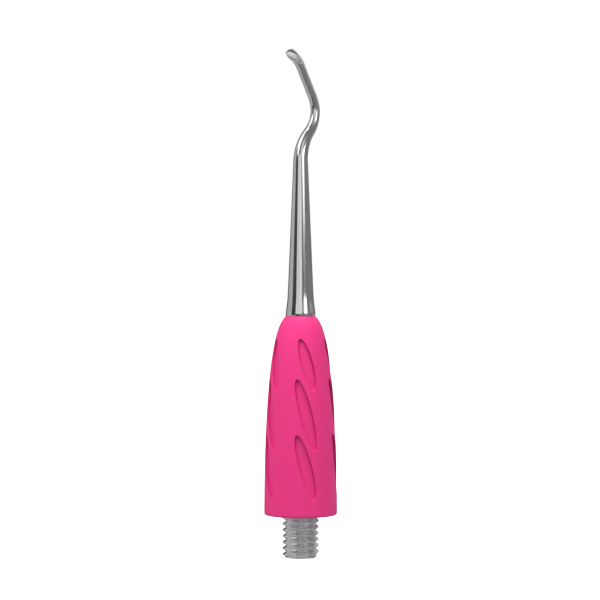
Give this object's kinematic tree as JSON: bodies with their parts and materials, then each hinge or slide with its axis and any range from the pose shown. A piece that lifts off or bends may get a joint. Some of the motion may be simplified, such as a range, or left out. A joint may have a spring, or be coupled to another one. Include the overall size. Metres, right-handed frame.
{
  "type": "dental elevator tip",
  "caption": "Bent steel dental elevator tip with a hollowed gouge end, a soft recessed grip sleeve and a threaded stub that screws into a handle.",
  "frame": {"origin": "on the tool axis, in the plane of the seat: the flange face that meets the handle, at the root of the threaded stub", "axes": "+Z along the tool axis from the seat to the working end; the bent shank bows out to the back right, 34 degrees from +X towards +Y, with the gouge's nose on the -X side; the gouge's hollow faces -Y"},
  "size_m": [0.012, 0.012, 0.0834],
  "materials": {
    "polished_steel": "mirror-polished stainless steel",
    "satin_steel": "bead-blasted satin stainless steel",
    "pink_silicone": "satin moulded silicone",
    "seal_rubber": "matt moulded rubber"
  },
  "bodies": {
    "root": {"working_tip": "polished_steel", "threaded_core": "satin_steel", "grip_sleeve": "pink_silicone", "lock_pin": "satin_steel", "nose_seal_ring": "seal_rubber"}
  },
  "joints": []
}
